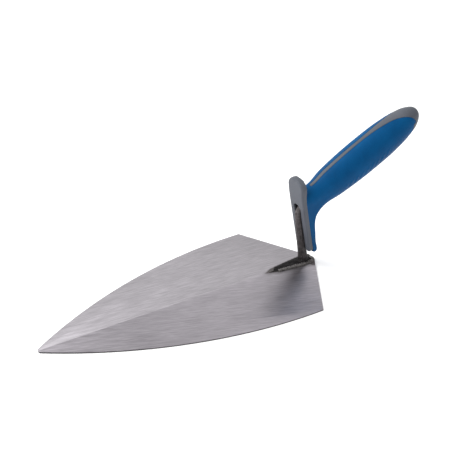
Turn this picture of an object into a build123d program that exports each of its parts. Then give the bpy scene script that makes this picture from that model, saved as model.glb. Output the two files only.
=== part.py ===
"""Brick trowel: a flat triangular blade, a forged shank welded to it, and a two-part moulded handle.

The tool lies on the flat underside of its blade. +X runs from the tip towards the butt of the handle,
+Y across the blade and +Z up. The origin is on the underside of the blade, on its centre line, directly
below the root of the shank. All lengths are in millimetres and all angles in degrees.
"""

from build123d import *

import os
from math import cos, radians, sin, tan

# ---- blade: taper-ground sheet steel, thickest along its centre line --------------------------------
BLADE_LENGTH = 280.0
BLADE_WIDTH = 140.0
HEEL_X = 13.0  # the pointed middle of the heel, behind the root of the shank
SHOULDER_SETBACK = 41.6  # from the middle of the heel forward to the two shoulders
TIP_WIDTH = 3.6
SHOULDER_ROUNDING = 1.0
TIP_ROUNDING = 1.5
HEEL_THICKNESS = 2.0
TIP_THICKNESS = 1.4
EDGE_THICKNESS = 1.1

# ---- shank: foot, riser, bend and tang, forged in one piece -----------------------------------------
RISER_LEAN = 12.0  # forward of vertical
RISER_ROOT_RADIUS = 4.7
RISER_TOP_RADIUS = 3.1
ROOT_FLARE_RADIUS = 5.6
ROOT_FLARE_HEIGHT = 8.0
ROOT_FLARE_TOP_RADIUS = 4.4
BEND_RADIUS = 9.0
TANG_DROP = 2.2  # from the handle's centre line down to the tang's
TANG_LENGTH = 92.0  # from the bend's corner
TANG_END_RADIUS = 1.8
# Foot, from its fine point to the heel: x, half width of the base, height above the blade
FOOT_STATIONS = [(-43.0, 0.5, 0.2), (-32.0, 3.0, 1.1), (-4.0, 5.6, 1.7), (9.0, 5.2, 0.9)]
FOOT_TOP_SHARE = 0.85  # width of the foot's top compared with its base
# Side beads: x, distance of the middle of the bead from the centre line, radius
BEAD_STATIONS = [(-31.0, 3.0, 1.2), (-4.0, 5.6, 1.6), (7.8, 5.2, 1.4)]
LEFT_BEAD_SHARE = 0.85  # the left bead is thinner, and the right one thicker
RIGHT_BEAD_SHARE = 1.25
HEEL_BEAD_RADIUS = 1.5

# ---- handle: hard core with a guard plate, and a soft grip moulded round it --------------------------
GUARD_X = -13.3  # where the handle's centre line crosses the front face of the guard
GUARD_Z = 64.0
HANDLE_PITCH = 28.0  # above horizontal
GUARD_LEAN = 13.5  # forward of vertical
GUARD_UP = 32.7  # from the centre line to the guard's top, along the guard
GUARD_DOWN = 48.6
GUARD_WIDTH = 21.6
GUARD_TOP_ROUNDING = 10.0
GUARD_BOTTOM_ROUNDING = 3.5
GUARD_THICKNESS = 4.5
GUARD_EDGE_ROUNDING = 1.6
REST_INSET = 0.5  # soft layer's outline inside the guard's outline
REST_BOTTOM_THICKNESS = 2.5  # soft layer behind the guard, at its bottom
REST_KNEE = (10.9, -8.0)  # behind the face and up the guard, where the rest turns under the grip
REST_END = (52.0, 2.0)  # inside the grip, so that the two blend
REST_TOP = (40.0, 10.5)  # inside the neck, for the same reason
REST_ROUNDING = 1.8
# Upper half of the neck between the guard and the grip: radius, and half width between its flat sides
NECK_PROFILE = [(8.7, 16.0), (12.0, 13.7), (16.0, 12.4), (22.0, 11.9), (40.0, 13.9)]
NECK_SIDE = [(0.0, 10.3), (14.0, 10.3), (26.0, 11.2), (40.0, 14.0)]
FINGER_RADIUS = 9.0
# Grip: distance from the guard's front face, radius before the section is made oval
GRIP_PROFILE = [
    (11.0, 10.3),
    (21.0, 10.9),
    (37.0, 14.1),
    (55.0, 15.6),
    (75.0, 16.3),
    (96.0, 16.2),
    (124.0, 13.8),
]
GRIP_END_SLOPE = -0.2
GRIP_HEIGHT_SHARE = 1.045  # the grip's section is an oval, taller than it is wide
GRIP_WIDTH_SHARE = 0.95
GRIP_LENGTH = 147.0  # from the guard's front face to the butt
DOME_POINT = (142.0, 8.4)
SKIN = 2.6
# Half width of the core where it shows along the top of the grip and round the butt
SPINE_OUTLINE = [(20.0, 1.9), (60.0, 2.1), (97.0, 2.5), (121.0, 4.8), (137.0, 9.2), (150.0, 12.0)]
TAIL_OUTLINE = [(114.0, 0.8), (122.0, 5.0), (131.0, 9.6), (150.0, 12.0)]
GROOVE_WIDTH = 9.4
GROOVE_DEPTH = 3.9
MOUTH_RADIUS = 5.0
MOUTH_SLOT = 1.6  # between the centres of the mouth's round ends
MOUTH_DROP = 1.5
MOUTH_DEPTH = 12.0
SOCKET_CLEARANCE = 0.05  # radial, filled by the adhesive
SOCKET_END_CLEARANCE = 3.0

TIP_X = HEEL_X - BLADE_LENGTH
SHOULDER_X = HEEL_X - SHOULDER_SETBACK
HALF_WIDTH = BLADE_WIDTH / 2
REACH = 60.0  # longer than any cut has to be


def blade_top(x):
    """Height of the blade's centre line above its underside."""
    share = (HEEL_X - x) / BLADE_LENGTH
    return HEEL_THICKNESS + (TIP_THICKNESS - HEEL_THICKNESS) * share


# ---- reference frames --------------------------------------------------------------------------------
handle_dir = Vector(cos(radians(HANDLE_PITCH)), 0, sin(radians(HANDLE_PITCH)))
guard_back = Vector(cos(radians(GUARD_LEAN)), 0, sin(radians(GUARD_LEAN)))
riser_dir = Vector(-sin(radians(RISER_LEAN)), 0, cos(radians(RISER_LEAN)))
guard_point = Vector(GUARD_X, 0, GUARD_Z)
side_view = Plane(guard_point, x_dir=handle_dir, z_dir=(0, -1, 0))  # along the handle, and up from it
top_view = Plane(guard_point, x_dir=handle_dir, z_dir=side_view.y_dir)  # along the handle, and across
guard_face = Plane(guard_point, x_dir=(0, 1, 0), z_dir=guard_back)  # across, and up the guard
guard_side = Plane(guard_point, x_dir=guard_back, z_dir=(0, -1, 0))  # behind the face, and up it
inside_blade = Plane.XY.offset(EDGE_THICKNESS / 2)


def guard_outline(inset=0.0):
    """Outline of the guard in its own plane: well rounded at the top, nearly square at the bottom."""
    with BuildSketch(guard_face, mode=Mode.PRIVATE) as plate:
        with Locations((0, (GUARD_UP - GUARD_DOWN) / 2)):
            Rectangle(GUARD_WIDTH - 2 * inset, GUARD_UP + GUARD_DOWN - 2 * inset)
        fillet(plate.vertices().group_by(Axis.Y)[-1], radius=GUARD_TOP_ROUNDING - inset)
        fillet(plate.vertices().group_by(Axis.Y)[0], radius=GUARD_BOTTOM_ROUNDING - inset)
    return plate.sketch


# ---- blade -------------------------------------------------------------------------------------------
with BuildPart() as blade:
    with BuildSketch() as outline:
        with BuildLine():
            heel_edge = Line((HEEL_X, 0), (SHOULDER_X, HALF_WIDTH))
            long_edge = TangentArc(heel_edge @ 1, (TIP_X, TIP_WIDTH / 2), tangent=(-1, 0))
            Line(long_edge @ 1, (TIP_X, 0))
            mirror(about=Plane.XZ)
        make_face()
        corners = outline.vertices()
        fillet([corners.sort_by(Axis.Y)[0], corners.sort_by(Axis.Y)[-1]], radius=SHOULDER_ROUNDING)
        tip_corners = outline.vertices().group_by(Axis.X)[0]
        fillet([v for v in tip_corners if abs(v.Y) > TIP_WIDTH / 4], radius=TIP_ROUNDING)
    extrude(amount=HEEL_THICKNESS)
    ridge_start = Vector(HEEL_X, 0, HEEL_THICKNESS)
    ridge = Vector(TIP_X, 0, TIP_THICKNESS) - ridge_start
    for side in (1, -1):
        to_shoulder = Vector(SHOULDER_X, side * HALF_WIDTH, EDGE_THICKNESS) - ridge_start
        ground_face = Plane(ridge_start, x_dir=ridge, z_dir=to_shoulder.cross(ridge) * side)
        split(bisect_by=ground_face, keep=Keep.BOTTOM)
blade.part.label = "blade"

# ---- shank -------------------------------------------------------------------------------------------
root = Vector(0, 0, blade_top(0))
# The riser's line meets the tang's centre line at the corner of the bend.
to_tang = guard_point - side_view.y_dir * TANG_DROP - root
corner = root + riser_dir * (to_tang.cross(handle_dir).Y / riser_dir.cross(handle_dir).Y)
setback = BEND_RADIUS * tan(radians(90 + RISER_LEAN - HANDLE_PITCH) / 2)
bend_start = corner - riser_dir * setback
bend_end = corner + handle_dir * setback
tang_end = corner + handle_dir * TANG_LENGTH


def round_bar(start, end, direction, start_radius, end_radius):
    """Straight round bar between two points, with its radius changing evenly along it."""
    with BuildPart(mode=Mode.PRIVATE) as bar:
        for point, radius in ((start, start_radius), (end, end_radius)):
            with BuildSketch(Plane(point, z_dir=direction)):
                Circle(radius)
        loft()
    return bar.part


with BuildPart() as shank:
    for x, half_base, rise in FOOT_STATIONS:
        with BuildSketch(Plane.YZ.offset(x)):
            with BuildLine():
                half_top = half_base * FOOT_TOP_SHARE
                top = blade_top(x) + rise
                Polyline((-half_base, 0), (-half_top, top), (half_top, top), (half_base, 0), close=True)
            make_face()
    loft(ruled=True)
    flare_end = root + riser_dir * ROOT_FLARE_HEIGHT
    add(round_bar(root - riser_dir, flare_end, riser_dir, ROOT_FLARE_RADIUS, ROOT_FLARE_TOP_RADIUS))
    add(round_bar(root - riser_dir, bend_start, riser_dir, RISER_ROOT_RADIUS, RISER_TOP_RADIUS))
    with BuildLine():
        bend = TangentArc(bend_start, bend_end, tangent=riser_dir)
    with BuildSketch(Plane(bend_start, z_dir=riser_dir)):
        Circle(RISER_TOP_RADIUS)
    sweep(path=bend)
    add(round_bar(bend_end, tang_end, handle_dir, RISER_TOP_RADIUS, TANG_END_RADIUS))
    split(bisect_by=inside_blade, keep=Keep.TOP)
    add(blade.part, mode=Mode.SUBTRACT)
shank.part.label = "shank"

# ---- weld beads --------------------------------------------------------------------------------------
side_beads = []
for name, side, share in (("weld_bead_left", 1, LEFT_BEAD_SHARE), ("weld_bead_right", -1, RIGHT_BEAD_SHARE)):
    with BuildPart() as bead:
        for x, half_base, radius in BEAD_STATIONS:
            with BuildSketch(Plane.YZ.offset(x)):
                with Locations((side * half_base, blade_top(x))):
                    Circle(share * radius)
        loft(ruled=True)
        split(bisect_by=inside_blade, keep=Keep.TOP)
        add(blade.part, mode=Mode.SUBTRACT)
        add(shank.part, mode=Mode.SUBTRACT)
    bead.part.label = name
    side_beads.append(bead)

with BuildPart() as heel_bead:
    with BuildSketch(Plane.XZ.offset(-FOOT_STATIONS[-1][1])):
        with Locations((FOOT_STATIONS[-1][0], blade_top(FOOT_STATIONS[-1][0]))):
            Circle(HEEL_BEAD_RADIUS)
    extrude(amount=2 * FOOT_STATIONS[-1][1])
    with BuildPart(mode=Mode.INTERSECT):
        add(outline.sketch)
        extrude(amount=REACH)
    for piece in (blade, shank, *side_beads):
        add(piece.part, mode=Mode.SUBTRACT)
heel_bead.part.label = "weld_bead_heel"

# ---- grip body, shared by the core and the soft grip -------------------------------------------------
def oval_grip(inset=0.0):
    """Oval grip with a domed butt, from the guard's face, inset all round."""
    outer = [(along, radius - inset) for along, radius in GRIP_PROFILE]
    dome_point = (DOME_POINT[0] - inset, DOME_POINT[1] - inset / 2)
    butt = (GRIP_LENGTH - inset, 0)
    with BuildPart(mode=Mode.PRIVATE) as grip:
        with BuildSketch(Plane.XZ):
            with BuildLine():
                Line((0, outer[0][1]), outer[0])
                Spline(*outer, tangents=[(1, 0), (1, GRIP_END_SLOPE)])
                Spline(outer[-1], dome_point, butt, tangents=[(1, GRIP_END_SLOPE), (0, -1)])
                Polyline(butt, (0, 0), (0, outer[0][1]))
            make_face()
        revolve(axis=Axis.X)
        scale(by=(1, GRIP_WIDTH_SHARE, GRIP_HEIGHT_SHARE))
    return top_view.location * grip.part


def neck():
    """Upper half of the flared neck behind the guard, with flat sides that are flush with the web's."""
    with BuildPart(mode=Mode.PRIVATE) as flare:
        with BuildSketch(Plane.XZ):
            with BuildLine():
                top = Spline(*NECK_PROFILE)
                Polyline(top @ 1, (NECK_PROFILE[-1][0], 0), (0, 0), (0, NECK_PROFILE[0][1]), top @ 0)
            make_face()
        revolve(axis=Axis.X)
        scale(by=(1, GRIP_WIDTH_SHARE, GRIP_HEIGHT_SHARE))
        with BuildSketch():
            with BuildLine():
                side = Spline(*NECK_SIDE)
                mirror(side, about=Plane.XZ)
                Line(side @ 0, (NECK_SIDE[0][0], -NECK_SIDE[0][1]))
                Line(side @ 1, (NECK_SIDE[-1][0], -NECK_SIDE[-1][1]))
            make_face()
        extrude(amount=REACH, mode=Mode.INTERSECT)
    return top_view.location * flare.part


def finger_rest():
    """Web behind the guard that turns under the grip, nearly as wide as the guard."""
    low = REST_INSET - GUARD_DOWN
    low_rear = (GUARD_THICKNESS + REST_BOTTOM_THICKNESS, low)
    with BuildPart(mode=Mode.PRIVATE) as rest:
        with BuildSketch(guard_side):
            with BuildLine():
                FilletPolyline(low_rear, REST_KNEE, REST_END, radius=FINGER_RADIUS)
                Polyline(REST_END, REST_TOP, (0, 0), (0, low), low_rear)
            make_face()
        extrude(amount=GUARD_WIDTH, both=True)
        with BuildPart(mode=Mode.INTERSECT):
            add(guard_outline(REST_INSET))
            extrude(amount=REACH, dir=guard_back)
        rear = rest.faces().filter_by(lambda face: face.normal_at().dot(guard_back) > 0.5)
        fillet(rear.sort_by(Axis.Z)[0].edges(), radius=REST_ROUNDING)
    return rest.part


def core_outline(stations):
    """Strip along the handle in the top_view plane, as wide as the core shows there."""
    with BuildSketch(top_view, mode=Mode.PRIVATE) as strip:
        with BuildLine():
            edge = Spline(*stations)
            mirror(edge, about=Plane.XZ)
            Line(edge @ 0, (stations[0][0], -stations[0][1]))
            Line(edge @ 1, (stations[-1][0], -stations[-1][1]))
        make_face()
    return strip.sketch


with BuildPart() as grip_body:
    add(oval_grip())
    add(neck())
    add(finger_rest())
    split(bisect_by=guard_face.offset(GUARD_THICKNESS), keep=Keep.TOP)

# ---- handle core -------------------------------------------------------------------------------------
with BuildPart() as core_shape:
    # the strip along the top and round the butt that the soft grip leaves bare
    for stations, away in ((SPINE_OUTLINE, top_view.z_dir), (TAIL_OUTLINE, -top_view.z_dir)):
        with BuildPart(mode=Mode.PRIVATE) as strip:
            add(core_outline(stations))
            extrude(amount=REACH, dir=away)
            add(grip_body.part, mode=Mode.INTERSECT)
        add(strip.part)
    # the part that the soft grip covers
    with BuildPart(mode=Mode.PRIVATE) as covered:
        add(oval_grip(SKIN))
        split(bisect_by=guard_face.offset(GUARD_THICKNESS), keep=Keep.TOP)
    add(covered.part)

with BuildPart() as soft_grip:
    add(grip_body.part)
    add(core_shape.part, mode=Mode.SUBTRACT)
soft_grip.part.label = "soft_grip"

with BuildPart() as handle_core:
    add(guard_outline())
    extrude(amount=GUARD_THICKNESS, dir=guard_back)
    front = handle_core.faces().sort_by(Axis(guard_point, guard_back))[0]
    fillet(front.edges(), radius=GUARD_EDGE_ROUNDING)
    add(core_shape.part)
    # groove that the riser lies in, open to the front and at the bottom
    with BuildSketch(guard_face):
        with Locations((0, -GUARD_DOWN)):
            Rectangle(GROOVE_WIDTH, 2 * GUARD_DOWN)
    extrude(amount=GROOVE_DEPTH, dir=guard_back, mode=Mode.SUBTRACT)
    # mouth for the bend, and the tapered socket for the tang
    with BuildSketch(Plane(guard_point - handle_dir * MOUTH_DEPTH, x_dir=(0, 1, 0), z_dir=handle_dir)):
        with Locations((0, -MOUTH_DROP)):
            SlotCenterToCenter(MOUTH_SLOT, 2 * MOUTH_RADIUS, rotation=90)
    extrude(amount=2 * MOUTH_DEPTH, mode=Mode.SUBTRACT)
    socket_end = tang_end + handle_dir * SOCKET_END_CLEARANCE
    mouth_radius = RISER_TOP_RADIUS + SOCKET_CLEARANCE
    end_radius = TANG_END_RADIUS + SOCKET_CLEARANCE
    add(round_bar(bend_end, socket_end, handle_dir, mouth_radius, end_radius), mode=Mode.SUBTRACT)
handle_core.part.label = "handle_core"

# ---- export ------------------------------------------------------------------------------------------
os.makedirs("parts", exist_ok=True)
for piece in (blade, shank, *side_beads, heel_bead, handle_core, soft_grip):
    export_step(piece.part, f"parts/{piece.part.label}.step")
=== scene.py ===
"""Looks of the brick trowel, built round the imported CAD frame.

Lengths are in metres, except in names that end in _MM and in the handle's outlines made from them, which are
in millimetres. The tool's tip points to -X, its handle rises towards +X, and the photographed side is -Y.
"""

import math

import bmesh
import bpy
import numpy as np
from mathutils import Matrix, Vector, noise


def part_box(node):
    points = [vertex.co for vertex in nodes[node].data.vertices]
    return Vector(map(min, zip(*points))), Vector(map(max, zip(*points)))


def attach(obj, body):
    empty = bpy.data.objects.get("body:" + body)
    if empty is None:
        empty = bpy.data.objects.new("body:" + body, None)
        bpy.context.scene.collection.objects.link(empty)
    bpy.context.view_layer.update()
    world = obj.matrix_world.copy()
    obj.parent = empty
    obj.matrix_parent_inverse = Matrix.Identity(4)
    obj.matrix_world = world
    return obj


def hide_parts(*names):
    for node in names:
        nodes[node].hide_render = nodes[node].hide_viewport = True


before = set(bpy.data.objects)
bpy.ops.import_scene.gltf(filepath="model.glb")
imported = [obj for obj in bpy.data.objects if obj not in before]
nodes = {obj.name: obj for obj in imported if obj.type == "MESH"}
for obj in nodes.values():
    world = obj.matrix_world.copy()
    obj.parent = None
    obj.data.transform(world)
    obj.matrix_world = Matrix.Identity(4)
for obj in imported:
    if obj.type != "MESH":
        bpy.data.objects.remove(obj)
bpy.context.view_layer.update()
scene = bpy.context.scene
MM = 0.001
BLADE_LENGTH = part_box("blade")[1][0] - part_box("blade")[0][0]
FLOOR_GAP = 0.2 * MM  # from the floor up to the underside of the blade

# ---- frames of the handle: along it and up from it, behind the guard and up it -----------------------
GUARD_POINT = np.array([-13.3, 0.0, 64.0]) * MM
PITCH = math.radians(28.0)
LEAN = math.radians(13.5)
ALONG = np.array([math.cos(PITCH), 0.0, math.sin(PITCH)])
UP = np.array([-math.sin(PITCH), 0.0, math.cos(PITCH)])
GUARD_BACK = np.array([math.cos(LEAN), 0.0, math.sin(LEAN)])
GUARD_UP = np.array([-math.sin(LEAN), 0.0, math.cos(LEAN)])


# ---- camera and light --------------------------------------------------------------------------------
CAMERA_PLACE = (-0.4405, -0.5367, 0.4738)
CAMERA_TARGET = (-0.08641, 0.0, 0.063905)
CAMERA_ROLL_DEGREES = 2.639
CAMERA_LENS = 68.78  # millimetres, on a sensor 36 mm wide
LIGHT_TARGET = (-0.03, 0.0, 0.04)
SKY_BRIGHT_SIDE = (-0.30, 0.60, 0.74)  # the direction in which the studio is brightest
SKY_RANGE = (0.18, 0.98)  # brightness of the studio away from that direction and towards it
SKY_SPREAD = 0.75  # cosine at which that range ends on each side


def aim(obj, target, roll=0.0):
    """Turns obj's -Z axis towards target, with its Y axis up, and rolls it."""
    forward = (Vector(target) - obj.location).normalized()
    right = forward.cross(Vector((0, 0, 1))).normalized()
    up = right.cross(forward)
    turned_right = math.cos(roll) * right + math.sin(roll) * up
    turned_up = math.cos(roll) * up - math.sin(roll) * right
    obj.rotation_euler = Matrix((turned_right, turned_up, -forward)).transposed().to_euler()


camera = bpy.data.objects.new("camera", bpy.data.cameras.new("camera"))
camera.location = CAMERA_PLACE
camera.data.sensor_width = 36.0
camera.data.lens = CAMERA_LENS
camera.data.clip_end = 50.0
aim(camera, CAMERA_TARGET, roll=math.radians(CAMERA_ROLL_DEGREES))
scene.collection.objects.link(camera)
scene.camera = camera
scene.view_settings.view_transform = "Standard"

world = bpy.data.worlds.new("studio")
world.use_nodes = True
# a pale studio, brightest overhead and beyond the tool, and darkest on the camera's side
bright_side = world.node_tree.nodes.new("ShaderNodeVectorMath")
bright_side.operation = "DOT_PRODUCT"
bright_side.inputs[1].default_value = SKY_BRIGHT_SIDE
sky_direction = world.node_tree.nodes.new("ShaderNodeTexCoord").outputs["Generated"]
world.node_tree.links.new(sky_direction, bright_side.inputs[0])
sky = world.node_tree.nodes.new("ShaderNodeMapRange")
sky.inputs["From Min"].default_value = -SKY_SPREAD
sky.inputs["From Max"].default_value = SKY_SPREAD
sky.inputs["To Min"].default_value = SKY_RANGE[0]
sky.inputs["To Max"].default_value = SKY_RANGE[1]
world.node_tree.links.new(bright_side.outputs["Value"], sky.inputs["Value"])
world.node_tree.links.new(sky.outputs["Result"], world.node_tree.nodes["Background"].inputs["Color"])
scene.world = world

# name, place, size, power in watts
for name, place, size, power in (
    ("key", (-0.75, 0.55, 1.15), 0.8, 13.0),
    ("fill", (-1.35, -0.45, 0.75), 1.0, 4.0),
):
    light = bpy.data.objects.new(name, bpy.data.lights.new(name, "AREA"))
    light.data.shape = "DISK"
    light.data.size = size
    light.data.energy = power
    light.location = place
    aim(light, LIGHT_TARGET)
    scene.collection.objects.link(light)


# ---- materials ---------------------------------------------------------------------------------------
class Paint:
    """A Principled material and short ways to add nodes that read the frame's own coordinates."""

    def __init__(self, name, metallic, roughness, **sockets):
        self.material = bpy.data.materials.new(name)
        self.material.use_nodes = True
        self.tree = self.material.node_tree
        self.shader = self.tree.nodes["Principled BSDF"]
        self.shader.inputs["Metallic"].default_value = metallic
        self.shader.inputs["Roughness"].default_value = roughness
        for socket, value in sockets.items():
            self.shader.inputs[socket.replace("_", " ")].default_value = value
        self.place = self.add("TexCoord").outputs["Object"]

    def add(self, kind, **inputs):
        node = self.tree.nodes.new("ShaderNode" + kind)
        for socket, value in inputs.items():
            self.set(node.inputs[socket.replace("_", " ")], value)
        return node

    def set(self, socket, value):
        if isinstance(value, bpy.types.NodeSocket):
            self.tree.links.new(value, socket)
        else:
            socket.default_value = value

    def math(self, operation, *values):
        node = self.tree.nodes.new("ShaderNodeMath")
        node.operation = operation
        for socket, value in zip(node.inputs, values):
            self.set(socket, value)
        return node.outputs[0]

    def mapped(self, scale, turn=0.0):
        """Coordinates turned about Z by degrees, then stretched. Scale is in features per metre."""
        turned = self.add("Mapping", Vector=self.place, Rotation=(0.0, 0.0, math.radians(-turn)))
        stretched = self.add("Mapping", Vector=turned.outputs[0], Scale=scale)
        return stretched.outputs[0]

    def noise(self, vector, detail=3.0, rough=0.5):
        node = self.add("TexNoise", Vector=vector, Scale=1.0, Detail=detail, Roughness=rough)
        return node.outputs["Fac"]

    def ramp(self, factor, *stops):
        """Values between (position, grey or colour) stops."""
        node = self.add("ValToRGB", Fac=factor)
        marks = node.color_ramp.elements
        while len(marks) < len(stops):
            marks.new(0.5)
        for mark, (position, value) in zip(marks, stops):
            mark.position = position
            mark.color = (*value, 1.0) if isinstance(value, tuple) else (value, value, value, 1.0)
        return node.outputs["Color"]

    def mix(self, factor, first, second, blend="MIX"):
        node = self.tree.nodes.new("ShaderNodeMix")
        node.data_type = "RGBA"
        node.blend_type = blend
        self.set(node.inputs[0], factor)
        for socket, value in ((node.inputs[6], first), (node.inputs[7], second)):
            self.set(socket, (*value, 1.0) if isinstance(value, tuple) else value)
        return node.outputs[2]

    def axis(self, name):
        """One coordinate of the frame, in metres."""
        return self.add("SeparateXYZ", Vector=self.place).outputs[name]

    def blend(self, factor, low, high, first, second):
        """Colours between first, where factor is low, and second, where it is high."""
        return self.mix(self.ramp(factor, (low, 0.0), (high, 1.0)), first, second)

    def shade(self, tone, share, factor, *stops):
        """A tone multiplied by the ramp of a factor, by a share."""
        return self.mix(share, tone, self.ramp(factor, *stops), "MULTIPLY")

    def colour(self, value):
        self.set(self.shader.inputs["Base Color"], value)

    def roughness(self, value):
        self.set(self.shader.inputs["Roughness"], value)

    def bump(self, *layers):
        """Layers of (height, depth in metres)."""
        normal = None
        for height, depth in layers:
            node = self.add("Bump", Height=height, Strength=1.0, Distance=depth)
            if normal is not None:
                self.set(node.inputs["Normal"], normal)
            normal = node.outputs[0]
        self.set(self.shader.inputs["Normal"], normal)


NEAR_SOOT_MM = 4.5  # how far soot reaches from the foot, on the photographed side
FAR_SOOT_MM = 1.6
DARK_PATCH_PLACE = (7.0 * MM, -6.0 * MM, 2.0 * MM)
GROOVE_HALF_MM = 5.2  # half width of the painted shade behind the riser
PAINTED_SHADE_TOP_MM = 13.0  # height above GUARD_POINT up to which the guard plate's groove and mouth get painted shade


def blade_steel():
    """Ground steel: each half has grind lines of its own direction, and heat has coloured it by the foot."""
    paint = Paint("blade_steel", 1.0, 0.38)
    far = paint.math("GREATER_THAN", paint.axis("Y"), 0.0)

    def lines(scale, detail, rough):
        far_lines = paint.noise(paint.mapped(scale, turn=-5.0), detail, rough)
        near_lines = paint.noise(paint.mapped(scale, turn=-19.0), detail, rough)
        return paint.mix(far, near_lines, far_lines)

    fine = lines((110.0, 2600.0, 100.0), 3.0, 0.6)
    middle = lines((45.0, 760.0, 30.0), 2.0, 0.5)
    broad = lines((11.0, 60.0, 10.0), 2.0, 0.5)
    cloud = paint.noise(paint.mapped((16.0, 22.0, 16.0)), 3.0, 0.55)
    # painted reflection: the near half's colour is much darker than the far half's
    far_lit_tone = paint.blend(broad, 0.25, 0.75, (0.455, 0.432, 0.46), (0.49, 0.465, 0.495))
    near_shaded_tone = paint.blend(broad, 0.25, 0.75, (0.30, 0.282, 0.304), (0.325, 0.306, 0.33))
    # painted reflection: the near half is painted darker towards its tip and brighter towards its heel, the
    # far half a little darker towards its tip
    forward = paint.math("MULTIPLY", paint.axis("X"), -1.0 / BLADE_LENGTH)
    near_shaded_tone = paint.shade(near_shaded_tone, 1.0, forward, (0.0, 1.55), (0.3, 1.42), (0.7, 0.99), (0.9, 0.88))
    far_lit_tone = paint.shade(far_lit_tone, 1.0, forward, (0.3, 1.0), (0.9, 0.97))
    tone = paint.mix(far, near_shaded_tone, far_lit_tone)
    tone = paint.shade(tone, 0.4, middle, (0.3, 0.6), (0.72, 1.3))
    tone = paint.shade(tone, 0.5, fine, (0.25, 0.6), (0.75, 1.35))
    tone = paint.shade(tone, 0.25, cloud, (0.3, 0.75), (0.7, 1.15))

    # soot and heat tint beside the foot and its point, narrower on the far side
    patch = paint.math("SUBTRACT", paint.noise(paint.mapped((260.0, 420.0, 260.0)), 4.0, 0.6), 0.5)
    beside_bead = paint.math("MULTIPLY_ADD", paint.axis("X"), 0.115, 7.6 * MM)
    beside_point = paint.math("MULTIPLY_ADD", paint.axis("X"), 0.3, 13.4 * MM)
    foot_edge = paint.math("MINIMUM", beside_bead, beside_point)
    beyond = paint.math("SUBTRACT", paint.math("ABSOLUTE", paint.axis("Y")), foot_edge)
    beyond = paint.math("MULTIPLY_ADD", patch, 4.0 * MM, beyond)
    per_width = paint.mix(far, (1.0 / (NEAR_SOOT_MM * MM),) * 3, (1.0 / (FAR_SOOT_MM * MM),) * 3)
    tint = paint.ramp(paint.math("MULTIPLY", beyond, per_width), (0.0, 0.9), (0.3, 0.4), (1.0, 0.0))
    tint = paint.math("MULTIPLY", tint, paint.ramp(forward, (0.15, 1.0), (0.17, 0.0)))
    # a dark patch beside the heel
    away = paint.add("VectorMath", Vector=paint.place)
    away.operation = "DISTANCE"
    away.inputs[1].default_value = DARK_PATCH_PLACE
    dark_patch = paint.math("MULTIPLY_ADD", patch, 3.0 * MM, away.outputs["Value"])
    dark_patch = paint.math("MULTIPLY", dark_patch, 100.0)
    dark_patch = paint.ramp(dark_patch, (0.52, 0.85), (0.64, 0.3), (0.9, 0.0))
    soot_and_dark_patch = paint.math("MAXIMUM", tint, dark_patch)
    tone = paint.mix(soot_and_dark_patch, tone, (0.10, 0.09, 0.086))

    # painted shade: the sheared edge, where faces stand upright, is coloured nearly black
    facing_up = paint.add("SeparateXYZ", Vector=paint.add("NewGeometry").outputs["Normal"]).outputs["Z"]
    edge_painted_shade = paint.ramp(paint.math("ABSOLUTE", facing_up), (0.35, 1.0), (0.9, 0.0))
    tone = paint.mix(edge_painted_shade, tone, (0.05, 0.047, 0.05))
    paint.colour(tone)
    shine = paint.blend(middle, 0.25, 0.75, (0.33,) * 3, (0.44,) * 3)
    shine = paint.mix(soot_and_dark_patch, shine, (0.62,) * 3)
    paint.roughness(shine)
    paint.bump((fine, 0.00003), (middle, 0.00004))
    return paint.material


def forged_steel():
    """Dark scale over a hammered surface, lighter up the riser and on convex places."""
    paint = Paint("forged_steel", 0.45, 0.55, Specular_IOR_Level=0.12)
    scale = paint.noise(paint.mapped((420.0, 420.0, 300.0)), 5.0, 0.62)
    grit = paint.noise(paint.mapped((1900.0, 1900.0, 1500.0)), 3.0, 0.6)
    drawn = paint.noise(paint.mapped((900.0, 900.0, 70.0)), 3.0, 0.5)
    height = paint.math("MULTIPLY", paint.axis("Z"), 12.0)
    height = paint.ramp(height, (0.04, 0.0), (0.12, 0.55), (0.8, 1.0))
    low = paint.blend(scale, 0.3, 0.7, (0.005, 0.0044, 0.0044), (0.018, 0.016, 0.0165))
    high = paint.blend(scale, 0.3, 0.72, (0.06, 0.054, 0.055), (0.15, 0.138, 0.139))
    tone = paint.mix(height, low, high)
    tone = paint.shade(tone, 0.5, drawn, (0.3, 0.7), (0.7, 1.35))
    tone = paint.shade(tone, 0.5, grit, (0.3, 0.6), (0.75, 1.4))
    pointiness = paint.add("NewGeometry").outputs["Pointiness"]
    tone = paint.mix(paint.ramp(pointiness, (0.52, 0.0), (0.6, 0.55)), tone, (0.15, 0.14, 0.14))
    paint.colour(tone)
    paint.roughness(paint.ramp(scale, (0.25, 0.66), (0.75, 0.46)))
    paint.bump((scale, 0.0005), (grit, 0.00012))
    return paint.material


def weld_metal():
    """Rippled weld metal, patchy in tone, darker in the hollows between its ripples and all over its far
    side.
    """
    paint = Paint("weld_metal", 0.8, 0.45)
    soot = paint.noise(paint.mapped((500.0, 700.0, 700.0)), 4.0, 0.6)
    grit = paint.noise(paint.mapped((2200.0, 2200.0, 2200.0)), 3.0, 0.6)
    tone = paint.blend(soot, 0.36, 0.66, (0.07, 0.065, 0.063), (0.22, 0.208, 0.204))
    far_side = paint.ramp(paint.math("MULTIPLY", paint.axis("Y"), 100.0), (0.1, 0.0), (0.35, 0.85))
    tone = paint.mix(far_side, tone, (0.02, 0.018, 0.018))
    pointiness = paint.add("NewGeometry").outputs["Pointiness"]
    tone = paint.mix(paint.ramp(pointiness, (0.44, 0.5), (0.5, 0.0)), tone, (0.03, 0.027, 0.027))
    paint.colour(tone)
    paint.roughness(paint.ramp(soot, (0.3, 0.6), (0.7, 0.34)))
    paint.bump((soot, 0.0002), (grit, 0.00008))
    return paint.material


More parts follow.
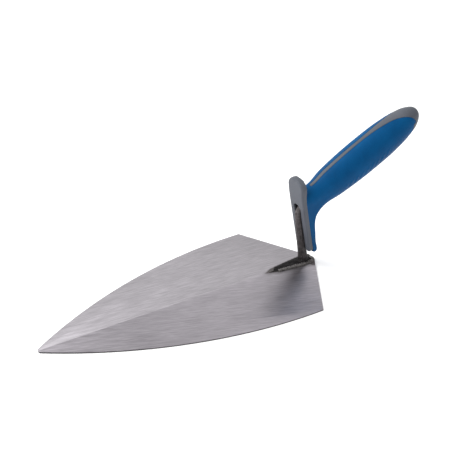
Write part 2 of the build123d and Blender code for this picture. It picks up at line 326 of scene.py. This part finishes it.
def grey_plastic():
    """Hard satin polymer with a fine moulded grain, painted dark as shade deep in its groove and socket
    mouth.
    """
    paint = Paint("grey_plastic", 0.0, 0.46, Specular_IOR_Level=0.22)
    flow = paint.noise(paint.mapped((60.0, 60.0, 40.0)), 3.0, 0.5)
    grain = paint.noise(paint.mapped((3600.0, 3600.0, 3600.0)), 2.0, 0.5)
    scuff = paint.noise(paint.mapped((900.0, 300.0, 120.0), turn=30.0), 3.0, 0.6)
    tone = paint.blend(flow, 0.3, 0.7, (0.084, 0.092, 0.11), (0.106, 0.115, 0.136))
    tone = paint.shade(tone, 0.3, grain, (0.3, 0.72), (0.7, 1.25))
    tone = paint.mix(paint.ramp(scuff, (0.66, 0.0), (0.8, 0.35)), tone, (0.22, 0.23, 0.26))
    # painted shade deep in the groove and in the mouth of the socket
    behind = paint.add("VectorMath", Vector=paint.place)
    behind.operation = "DOT_PRODUCT"
    behind.inputs[1].default_value = GUARD_BACK
    depth = paint.math("SUBTRACT", behind.outputs["Value"], float(GUARD_POINT @ GUARD_BACK))
    in_groove = paint.math("LESS_THAN", paint.math("ABSOLUTE", paint.axis("Y")), GROOVE_HALF_MM * MM)
    under_top = paint.math("LESS_THAN", paint.axis("Z"), float(GUARD_POINT[2]) + PAINTED_SHADE_TOP_MM * MM)
    inside = paint.math("MULTIPLY", in_groove, under_top)
    recess_painted_shade = paint.math("MULTIPLY", depth, 60.0)
    recess_painted_shade = paint.ramp(recess_painted_shade, (0.05, 0.0), (0.15, 0.95), (0.8, 0.95), (0.81, 0.0))
    tone = paint.mix(paint.math("MULTIPLY", recess_painted_shade, inside), tone, (0.008, 0.008, 0.009))
    paint.colour(tone)
    paint.roughness(paint.ramp(flow, (0.3, 0.4), (0.7, 0.52)))
    paint.bump((grain, 0.00006))
    return paint.material


def blue_rubber():
    """Soft matt rubber with a fine pebbled grain."""
    paint = Paint("blue_rubber", 0.0, 0.5, Specular_IOR_Level=0.08)
    flow = paint.noise(paint.mapped((45.0, 45.0, 45.0)), 3.0, 0.55)
    grain = paint.noise(paint.mapped((2800.0, 2800.0, 2800.0)), 2.0, 0.55)
    dust = paint.noise(paint.mapped((320.0, 320.0, 320.0)), 4.0, 0.7)
    tone = paint.blend(flow, 0.3, 0.7, (0.0006, 0.058, 0.172), (0.001, 0.08, 0.225))
    tone = paint.shade(tone, 0.35, grain, (0.3, 0.7), (0.7, 1.3))
    tone = paint.mix(paint.ramp(dust, (0.62, 0.0), (0.8, 0.22)), tone, (0.02, 0.11, 0.26))
    paint.colour(tone)
    paint.roughness(paint.ramp(flow, (0.3, 0.44), (0.7, 0.56)))
    paint.bump((grain, 0.00008))
    return paint.material


def studio_floor():
    """Nearly white paper, a little brighter than the light on it alone would make it."""
    white = (1.0, 1.0, 1.0, 1.0)
    paint = Paint("studio_floor", 0.0, 0.7, Emission_Color=white, Emission_Strength=0.25)
    paint.colour(paint.ramp(paint.noise(paint.mapped((3.0, 3.0, 3.0))), (0.3, 0.93), (0.7, 0.95)))
    return paint.material


MATERIALS = {
    "blade_steel": blade_steel(),
    "forged_steel": forged_steel(),
    "weld_metal": weld_metal(),
    "grey_plastic": grey_plastic(),
    "blue_rubber": blue_rubber(),
}

floor_mesh = bpy.data.meshes.new("floor")
floor_mesh.from_pydata([(-4, -4, 0), (4, -4, 0), (4, 4, 0), (-4, 4, 0)], [], [(0, 1, 2, 3)])
floor = bpy.data.objects.new("floor", floor_mesh)
floor.location.z = -FLOOR_GAP
floor_mesh.materials.append(studio_floor())
scene.collection.objects.link(floor)


# ---- shared mesh helpers -----------------------------------------------------------------------------
SHANK_VOXEL_MM = 0.45
BEAD_VOXEL_MM = 0.22
GUARD_VOXEL_MM = 0.4
STANDING_MM = 3.5  # vertices of the shank and the beads below this height are pressed into the blade
STANDING_SINK_MM = 0.35  # by this much


def finish_piece(name, mesh, slot, replaced, sharp_degrees=40.0):
    """Links a mesh as a piece that stands for a CAD node, with its material and smooth shading."""
    mesh.name = name
    mesh.materials.clear()
    mesh.materials.append(MATERIALS[slot])
    mesh.polygons.foreach_set("material_index", [0] * len(mesh.polygons))
    mesh.polygons.foreach_set("use_smooth", [True] * len(mesh.polygons))
    mesh.set_sharp_from_angle(angle=math.radians(sharp_degrees))
    piece = bpy.data.objects.new(name, mesh)
    scene.collection.objects.link(piece)
    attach(piece, "root")
    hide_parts(replaced)


def cad_bmesh(node, flat_degrees=0.4):
    """The CAD node's mesh with its seams welded and its flat areas merged into single faces."""
    shape = bmesh.new()
    shape.from_mesh(nodes[node].data)
    bmesh.ops.remove_doubles(shape, verts=shape.verts, dist=1e-7)
    limit = math.radians(flat_degrees)
    bmesh.ops.dissolve_limit(shape, angle_limit=limit, verts=shape.verts, edges=shape.edges)
    return shape


def to_mesh(shape):
    mesh = bpy.data.meshes.new("mesh")
    shape.normal_update()
    shape.to_mesh(mesh)
    shape.free()
    return mesh


def remeshed(shape, voxel, passes):
    """A closed shape in even quads, with its edges softened."""
    carrier = bpy.data.objects.new("carrier", to_mesh(shape))
    scene.collection.objects.link(carrier)
    remesh = carrier.modifiers.new("remesh", "REMESH")
    remesh.mode = "VOXEL"
    remesh.voxel_size = voxel
    smooth = carrier.modifiers.new("smooth", "SMOOTH")
    smooth.iterations = passes
    smooth.factor = 0.5
    mesh = bpy.data.meshes.new_from_object(carrier.evaluated_get(bpy.context.evaluated_depsgraph_get()))
    bpy.data.objects.remove(carrier)
    return mesh


def displace(mesh, height):
    """Moves every vertex along its normal by height(place), and lowers what stands on the blade into it."""
    normals = [v.normal.copy() for v in mesh.vertices]
    for vertex, normal in zip(mesh.vertices, normals):
        place = vertex.co.copy()
        vertex.co = place + normal * height(place)
        if place.z < STANDING_MM * MM:
            vertex.co.z -= STANDING_SINK_MM * MM * min(1.0, (STANDING_MM * MM - place.z) / (1.0 * MM))


# ---- blade -------------------------------------------------------------------------------------------
HEEL_CORNER_MM = 3.0  # bevel of the corners at the heel
EDGE_BREAK_MM = 0.14  # bevel of the sheared edges

shape = cad_bmesh("blade")
heel_x = max(v.co.x for v in shape.verts)
corner = [e for e in shape.edges if min(v.co.x for v in e.verts) > heel_x - 0.01 * MM]
bmesh.ops.bevel(shape, geom=corner, offset=HEEL_CORNER_MM * MM, segments=5, profile=0.5, affect="EDGES")
hard = [e for e in shape.edges if len(e.link_faces) == 2 and e.calc_face_angle() > math.radians(30.0)]
bmesh.ops.bevel(shape, geom=hard, offset=EDGE_BREAK_MM * MM, segments=2, profile=0.5, affect="EDGES")
finish_piece("blade_ground", to_mesh(shape), "blade_steel", "blade", 30.0)


# ---- shank and welds ---------------------------------------------------------------------------------
SCAR_START_MM = 32.5  # where the foot ends blunt, from the origin towards the tip
SCAR_SIDE_MM = 1.2  # how far the scar in front of it lies off the centre line
SCAR_SINK_MM = 0.05
RIPPLE_STEP_MM = 2.3


def forged_height(place):
    """Hammered surface of the foot, smoother up the riser."""
    low = max(0.0, min(1.0, (14.0 * MM - place.z) / (8.0 * MM)))
    rough = 0.3 * noise.noise(place * 260.0) + 0.2 * noise.noise(place * 620.0)
    return MM * rough * (0.25 + 0.75 * low)


mesh = remeshed(cad_bmesh("shank"), SHANK_VOXEL_MM * MM, 6)
displace(mesh, forged_height)
for vertex in mesh.vertices:
    # the foot ends blunt, and a fine scar runs on from it towards the tip, a little off the centre line
    share = max(0.0, min(1.0, (-SCAR_START_MM * MM - vertex.co.x) / (2.5 * MM)))
    vertex.co.y += share * (-0.75 * vertex.co.y - SCAR_SIDE_MM * MM)
    vertex.co.z -= share * SCAR_SINK_MM * MM
finish_piece("shank_forged", mesh, "forged_steel", "shank")


def weld_height(place):
    """Ripples that follow one another along the bead, uneven in step and height."""
    along = place.x + 0.35 * abs(place.y) + 0.4 * MM * noise.noise(place * 300.0)
    ripple = abs(math.sin(along / (RIPPLE_STEP_MM * MM) * math.pi))
    return MM * (0.3 * ripple - 0.05 + 0.25 * noise.noise(place * 420.0 + Vector((9.0, 4.0, 2.0))))


for node in ("weld_bead_left", "weld_bead_right", "weld_bead_heel"):
    mesh = remeshed(cad_bmesh(node), BEAD_VOXEL_MM * MM, 4)
    displace(mesh, weld_height)
    finish_piece(node + "_rippled", mesh, "weld_metal", node)


# ---- handle ------------------------------------------------------------------------------------------
# Sections of the grip and the web below it, millimetres along and above the handle's centre line:
# top, bottom, half width, height of the rounded top, width and height of the rounded lower corner
NECK_SECTIONS_MM = [
    # web behind the guard plate, then round its lower rear corner with a small lip, and up its rear face
    ((8.6, 16.6), (-7.8, -50.2), 10.3, 13.0, 3.2, 3.2),
    ((8.9, 16.3), (-5.8, -52.3), 10.3, 12.8, 3.0, 3.0),
    ((9.2, 16.0), (-4.2, -51.9), 10.2, 12.7, 2.8, 2.8),
    ((9.4, 15.8), (-3.2, -50.0), 10.2, 12.6, 2.6, 2.6),
    ((9.5, 15.7), (-2.4, -46.4), 10.2, 12.6, 2.6, 2.6),
    ((9.8, 15.4), (-1.2, -41.2), 10.2, 12.5, 2.4, 2.4),
    ((10.4, 14.9), (2.2, -31.6), 10.2, 12.4, 2.6, 2.6),
    ((11.2, 14.3), (5.6, -22.4), 10.2, 12.3, 3.2, 3.0),
    # round the knee and along the underside
    ((12.2, 13.8), (7.8, -18.8), 10.2, 12.2, 4.0, 3.4),
    ((13.8, 13.2), (10.4, -16.2), 10.2, 12.0, 5.0, 4.2),
    ((16.2, 12.7), (14.2, -14.7), 10.2, 11.8, 6.4, 5.4),
    ((19.5, 12.4), (18.8, -14.0), 10.4, 11.8, 8.2, 7.2),
    ((24.0, 12.5), (23.9, -14.3), 10.8, 12.3, 10.0, 9.8),
    ((29.0, 13.2), (29.0, -15.0), 11.9, 13.5, 11.7, 13.2),
]
# The oval grip: distance along the handle from the guard, and half height
GRIP_HEIGHTS_MM = [
    (35.0, 14.5), (41.0, 15.3), (47.0, 15.8), (56.0, 16.35), (66.0, 16.8), (80.0, 17.0), (95.0, 16.9),
    (104.0, 16.6), (113.0, 15.86), (120.0, 15.1), (126.0, 14.1), (132.0, 12.8), (137.5, 11.2), (142.0, 8.95),
    (146.2, 5.9), (148.0, 2.6), (148.3, 0.5),
]
GRIP_BELLY_MM = 1.3  # how much further the grip's underside is from the centre line than its top
GRIP_WIDTH_SHARE = 0.909  # half width of the grip compared with its half height
# Half width of the grey strip along the top and of the grey cap's tail below, seen along UP
SPINE_MM = [
    (20.0, 1.7), (60.0, 1.9), (97.0, 2.4), (109.0, 3.4), (121.0, 5.0), (130.0, 7.3), (137.0, 9.5),
    (150.0, 13.0),
]
TAIL_MM = [(114.0, 1.2), (118.0, 3.2), (122.0, 5.2), (131.0, 9.8), (150.0, 13.5)]
STRIP_NOSE_MM = 20.5  # the strip's blunt front end
TONGUE_END_MM = 138.4  # where the soft grip ends on each side, between the strip and the tail
TONGUE_HALF_MM = 0.9  # least reach of the soft grip on each side of a section's widest line
UNDERSIDE_HALF_MM = 1.6  # half width of the core's last columns along the underside, where there is no tail
SEAM_MM = 0.08  # half of the gap between the soft grip and the grey parts beside it
EDGE_MM = 0.35  # rounding of the soft grip's and the strip's edges
EDGE_STEPS = np.array([0.0, 0.12, 0.35, 0.8])  # where columns stand close together at an edge
SKIN_MM = 1.1  # thickness of the soft grip
RINGS = 230
DENSE = 600  # points that measure a section's outline
GRIP_COLUMNS = 72
COVERED_COLUMNS = 26  # of the core, under the soft grip
OPEN_COLUMNS = 8  # of the strip, and of the tail
# Raised marks on the grip
MARKS_START_MM = 46.0
MARKS_END_MM = 104.0
MARKS_FADE_MM = 4.0
MARK_STEP_MM = 6.4
MARK_SLANT = 34.0
MARK_HEIGHT_MM = 0.3
# Guard plate. In each pair the second number is what the plate's rear has on top of its front.
GUARD_THICKNESS_MM = 4.5
TOP_BACK_MM = (1.5, 1.6)  # how far its top leans back
TOP_WIDER = (0.05, 0.07)  # by which share its top is wider
TOP_LOWER_MM = (0.4, 1.3)  # how far its top is lowered
BOTTOM_HIGHER_MM = 0.5  # how far its bottom is raised
MOUTH_END_MM = 14.0  # where the CAD guard plate and mouth are cut off, inside the soft grip
CORE_START_MM = 17.5  # where the lofted core begins, inside the soft grip


def curve(keys, count=None, at=None):
    """Natural cubic through the rows of keys, at even steps or at given values of the first column."""
    keys = np.array(keys, float)
    if at is None:
        steps = np.linalg.norm(np.diff(keys[:, :4], axis=0), axis=1)
        knots = np.concatenate([[0.0], np.cumsum(steps)])
        at = np.linspace(0.0, knots[-1], count)
        values = keys
    else:
        knots, values = keys[:, 0], keys[:, 1:]
    size, gap = len(knots), np.diff(knots)
    system = np.zeros((size, size))
    right = np.zeros((size, values.shape[1]))
    system[0, 0] = system[-1, -1] = 1.0
    for i in range(1, size - 1):
        system[i, i - 1 : i + 2] = gap[i - 1], 2 * (gap[i - 1] + gap[i]), gap[i]
        right[i] = 6 * ((values[i + 1] - values[i]) / gap[i] - (values[i] - values[i - 1]) / gap[i - 1])
    bend = np.linalg.solve(system, right)
    at = np.clip(np.asarray(at, float), knots[0], knots[-1])
    i = np.clip(np.searchsorted(knots, at, "right") - 1, 0, size - 2)
    h = gap[i][:, None]
    u = ((at - knots[i])[:, None]) / h
    w = 1 - u
    return w * values[i] + u * values[i + 1] + ((w**3 - w) * bend[i] + (u**3 - u) * bend[i + 1]) * h * h / 6


def section_table():
    """One row for each ring: top, bottom, half width, and the sizes of its rounded top and lower corner."""
    rows = [(*top, *bottom, *rest) for top, bottom, *rest in NECK_SECTIONS_MM]
    for s, high in GRIP_HEIGHTS_MM:
        wide = GRIP_WIDTH_SHARE * high
        low = high + GRIP_BELLY_MM * min(1.0, (149.0 - s) / 7.0)
        mid = (high + low) / 2
        rows.append((s, high, s, -low, wide, mid, wide, mid))
    return curve(rows, RINGS)


def outlines(table):
    """Half outline of each ring from its top round the +Y side: length so far, half width, height share."""
    out = []
    quarter = np.linspace(0.0, math.pi / 2, DENSE // 3)
    for row in table:
        high = math.hypot(row[0] - row[2], row[1] - row[3])
        wide, top_high = row[4], min(row[5], high / 2)
        low_wide, low_high = min(row[6], wide), min(row[7], high / 2)
        top_y, top_z = wide * np.sin(quarter), high - top_high + top_high * np.cos(quarter)
        low_y = wide - low_wide + low_wide * np.cos(quarter)
        low_z = low_high - low_high * np.sin(quarter)
        y = np.concatenate([top_y, low_y, [0.0]])
        z = np.concatenate([top_z, low_z, [0.0]])
        length = np.concatenate([[0.0], np.cumsum(np.hypot(np.diff(y), np.diff(z)))])
        keep = np.concatenate([[True], np.diff(length) > 1e-9])
        out.append((length[keep], y[keep], z[keep] / high))
    return out


def placed(row, y, share):
    """Points of a ring in the row's frame, in metres, from their half widths and height shares."""
    s = row[2] + (row[0] - row[2]) * share
    t = row[3] + (row[1] - row[3]) * share
    point = GUARD_POINT[None, :] + MM * (s[:, None] * ALONG[None, :] + t[:, None] * UP[None, :])
    point[:, 1] += MM * y
    return point


TABLE = section_table()
OUTLINES = outlines(TABLE)
RING_S = TABLE[:, 0]
spine_wide = curve(SPINE_MM, at=RING_S)[:, 0]
tail_wide = curve(TAIL_MM, at=RING_S)[:, 0]
girth = np.array([length[-1] for length, _, _ in OUTLINES])
middle = np.array([length[np.argmax(y)] for length, y, _ in OUTLINES])
# where the grey strip and the tail end on each ring, as lengths along its half outline
strip_edge = np.zeros(RINGS)
tail_edge = girth.copy()
for i, (length, y, _) in enumerate(OUTLINES):
    peak = int(np.argmax(y))
    strip_edge[i] = np.interp(spine_wide[i], y[: peak + 1], length[: peak + 1])
    tail_edge[i] = np.interp(-tail_wide[i], -y[peak:], length[peak:])
has_strip = RING_S >= STRIP_NOSE_MM
has_tail = RING_S >= TAIL_MM[0][0]
has_grip = RING_S <= TONGUE_END_MM
strip_edge = np.minimum(strip_edge, middle - TONGUE_HALF_MM)
tail_edge = np.where(has_tail, np.maximum(tail_edge, middle + TONGUE_HALF_MM), girth - UNDERSIDE_HALF_MM)


def spread(start, end, count):
    """Positions from start to end, with close ones at both ends that can carry a rounded edge."""
    close = EDGE_STEPS * EDGE_MM * 1.6
    inner = np.linspace(start + close[-1], end - close[-1], count)
    return np.concatenate([start + close[:-1], inner, end - close[-2::-1]])


def edge_drop(distance):
    """How far a rounded edge has fallen at a distance from its rim, in millimetres."""
    inside = np.clip(EDGE_MM - distance, 0.0, EDGE_MM)
    return EDGE_MM - np.sqrt(EDGE_MM**2 - inside**2)


def normals_of(points):
    """Outward unit normals of a grid of points (ring, column, xyz)."""
    across = np.gradient(points, axis=1)
    on = np.gradient(points, axis=0)
    normal = np.cross(on, across)
    size = np.linalg.norm(normal, axis=2, keepdims=True)
    normal = normal / np.maximum(size, 1e-15)
    centre = np.abs(points[:, :, 1]) < 1e-9
    normal[centre, 1] = 0.0
    return normal / np.maximum(np.linalg.norm(normal, axis=2, keepdims=True), 1e-15)


def add_grid(vertices, faces, points, flip=False):
    """Appends a grid's vertices and quads, and returns the indices of its vertices."""
    rings, columns = points.shape[:2]
    first = len(vertices)
    vertices.extend(map(tuple, points.reshape(-1, 3)))
    index = first + np.arange(rings * columns).reshape(rings, columns)
    quads = np.stack([index[:-1, :-1], index[:-1, 1:], index[1:, 1:], index[1:, :-1]], axis=-1).reshape(-1, 4)
    faces.extend(map(tuple, quads[:, ::-1] if flip else quads))
    return index


def add_wall(faces, outer, inner, flip=False):
    """Quads between two lines of vertices."""
    for a, b, c, d in zip(outer[:-1], outer[1:], inner[1:], inner[:-1]):
        faces.append((d, c, b, a) if flip else (a, b, c, d))


def mirrored_mesh(vertices, faces):
    """Mesh of a +Y half and its mirror image, welded along the middle."""
    mesh = bpy.data.meshes.new("mesh")
    count = len(vertices)
    both = vertices + [(x, -y, z) for x, y, z in vertices]
    mesh.from_pydata(both, [], faces + [tuple(count + i for i in reversed(face)) for face in faces])
    shape = bmesh.new()
    shape.from_mesh(mesh)
    bpy.data.meshes.remove(mesh)
    bmesh.ops.remove_doubles(shape, verts=shape.verts, dist=2e-7)
    bmesh.ops.dissolve_degenerate(shape, edges=shape.edges, dist=1e-7)
    bmesh.ops.recalc_face_normals(shape, faces=shape.faces)
    return shape


def mark_height(s, around):
    """Raised slanted bars in a band low on each side of the grip, fading out at the band's ends."""
    centre = 0.60 - 0.0006 * (s - 60.0)
    band = np.clip(1.0 - np.abs(around - centre) / 0.075, 0.0, 1.0)
    span = np.clip(np.minimum(s - MARKS_START_MM, MARKS_END_MM - s) / MARKS_FADE_MM, 0.0, 1.0)
    wave = np.sin((s + MARK_SLANT * (around - centre)) * 2 * math.pi / MARK_STEP_MM)
    bar = np.clip(wave * 2.2 + 0.2, 0.0, 1.0)
    return MARK_HEIGHT_MM * bar * np.clip(band * 2.6, 0.0, 1.0) * span


# soft grip: outer skin, inner skin and the walls between them
rings = np.nonzero(has_grip)[0]
half = []
marks = []
for i in rings:
    length, y, share = OUTLINES[i]
    start = strip_edge[i] + SEAM_MM if has_strip[i] else 0.0
    end = tail_edge[i] - SEAM_MM if has_tail[i] else girth[i]
    at = spread(start, end, GRIP_COLUMNS)
    yy = np.interp(at, length, y)
    yy[0] = yy[0] if has_strip[i] else 0.0
    yy[-1] = yy[-1] if has_tail[i] else 0.0
    half.append(placed(TABLE[i], yy, np.interp(at, length, share)))
    drop = np.zeros(len(at))
    drop += edge_drop(at - start) if has_strip[i] else 0.0
    drop += edge_drop(end - at) if has_tail[i] else 0.0
    marks.append(mark_height(RING_S[i], at / girth[i]) - drop)
half = np.array(half)
marks = np.array(marks)
outward = normals_of(half)
outer = half + outward * (marks * MM)[:, :, None]
inner = half - outward * SKIN_MM * MM
vertices, faces = [], []
top = add_grid(vertices, faces, outer)
bottom = add_grid(vertices, faces, inner, flip=True)
add_wall(faces, top[0], bottom[0])
add_wall(faces, top[-1], bottom[-1], flip=True)
open_strip = np.nonzero(has_strip[rings])[0][0] - 1
add_wall(faces, top[open_strip:, 0], bottom[open_strip:, 0], flip=True)
open_tail = np.nonzero(has_tail[rings])[0][0] - 1
add_wall(faces, top[open_tail:, -1], bottom[open_tail:, -1])
finish_piece("grip_sleeve", to_mesh(mirrored_mesh(vertices, faces)), "blue_rubber", "soft_grip", 50.0)

# hard core: the strip, what the grip covers and the cap, with the guard plate cut from the CAD shape
rings = np.nonzero(RING_S >= CORE_START_MM)[0]
under = SKIN_MM + 0.05
half = []
sink = []
for i in rings:
    length, y, share = OUTLINES[i]
    strip_at = spread(0.0, strip_edge[i] - SEAM_MM, OPEN_COLUMNS)[3:]
    cover_at = np.linspace(strip_edge[i], tail_edge[i], COVERED_COLUMNS)
    tail_at = spread(tail_edge[i] + SEAM_MM, girth[i], OPEN_COLUMNS)[:-3]
    tail_at[-1] = girth[i]
    strip_at[0] = 0.0
    at = np.concatenate([strip_at, cover_at, tail_at])
    yy = np.interp(at, length, y)
    yy[0] = yy[-1] = 0.0
    half.append(placed(TABLE[i], yy, np.interp(at, length, share)))
    strip_drop = np.full(len(strip_at), under)
    if has_strip[i]:
        strip_drop = edge_drop(strip_edge[i] - SEAM_MM - strip_at)
    tail_drop = np.full(len(tail_at), under)
    if has_tail[i]:
        tail_drop = edge_drop(tail_at - tail_edge[i] - SEAM_MM)
    drop = np.concatenate([strip_drop, np.full(len(cover_at), under), tail_drop])
    sink.append(drop if has_grip[i] else 0.0 * drop)
half = np.array(half)
core = half - normals_of(half) * (np.array(sink) * MM)[:, :, None]
vertices, faces = [], []
add_grid(vertices, faces, core)
shape = mirrored_mesh(vertices, faces)
bmesh.ops.holes_fill(shape, edges=[e for e in shape.edges if e.is_boundary], sides=0)
bmesh.ops.recalc_face_normals(shape, faces=shape.faces)
core_mesh = to_mesh(shape)

shape = cad_bmesh("handle_core", 0.2)
cut = Vector(GUARD_POINT) + Vector(ALONG) * MOUTH_END_MM * MM
everything = list(shape.verts) + list(shape.edges) + list(shape.faces)
bmesh.ops.bisect_plane(shape, geom=everything, plane_co=cut, plane_no=Vector(ALONG), clear_outer=True)
bmesh.ops.holes_fill(shape, edges=[e for e in shape.edges if e.is_boundary], sides=0)
guard_mesh = remeshed(shape, GUARD_VOXEL_MM * MM, 5)
for vertex in guard_mesh.vertices:
    # the plate's top is thick, wide and round and leans back, and its bottom ends a little higher
    behind = (np.array(vertex.co) - GUARD_POINT) @ GUARD_BACK / MM
    above = (np.array(vertex.co) - GUARD_POINT) @ GUARD_UP / MM
    top_share = min(1.0, max(0.0, (above - 8.0) / 24.0))
    rear_share = min(1.0, max(0.0, behind / GUARD_THICKNESS_MM))
    if behind < GUARD_THICKNESS_MM + 0.5:
        lean, wider, lower = (a + b * rear_share for a, b in (TOP_BACK_MM, TOP_WIDER, TOP_LOWER_MM))
        bottom_share = min(1.0, max(0.0, (-40.0 - above) / 8.0))
        vertex.co += Vector(GUARD_BACK) * MM * top_share**1.6 * lean
        vertex.co.y *= 1.0 + top_share * wider
        vertex.co -= Vector(GUARD_UP) * MM * top_share**2 * lower
        vertex.co += Vector(GUARD_UP) * MM * BOTTOM_HIGHER_MM * bottom_share
shape = bmesh.new()
shape.from_mesh(guard_mesh)
bpy.data.meshes.remove(guard_mesh)
shape.from_mesh(core_mesh)
bpy.data.meshes.remove(core_mesh)
finish_piece("handle_shell", to_mesh(shape), "grey_plastic", "handle_core", 35.0)
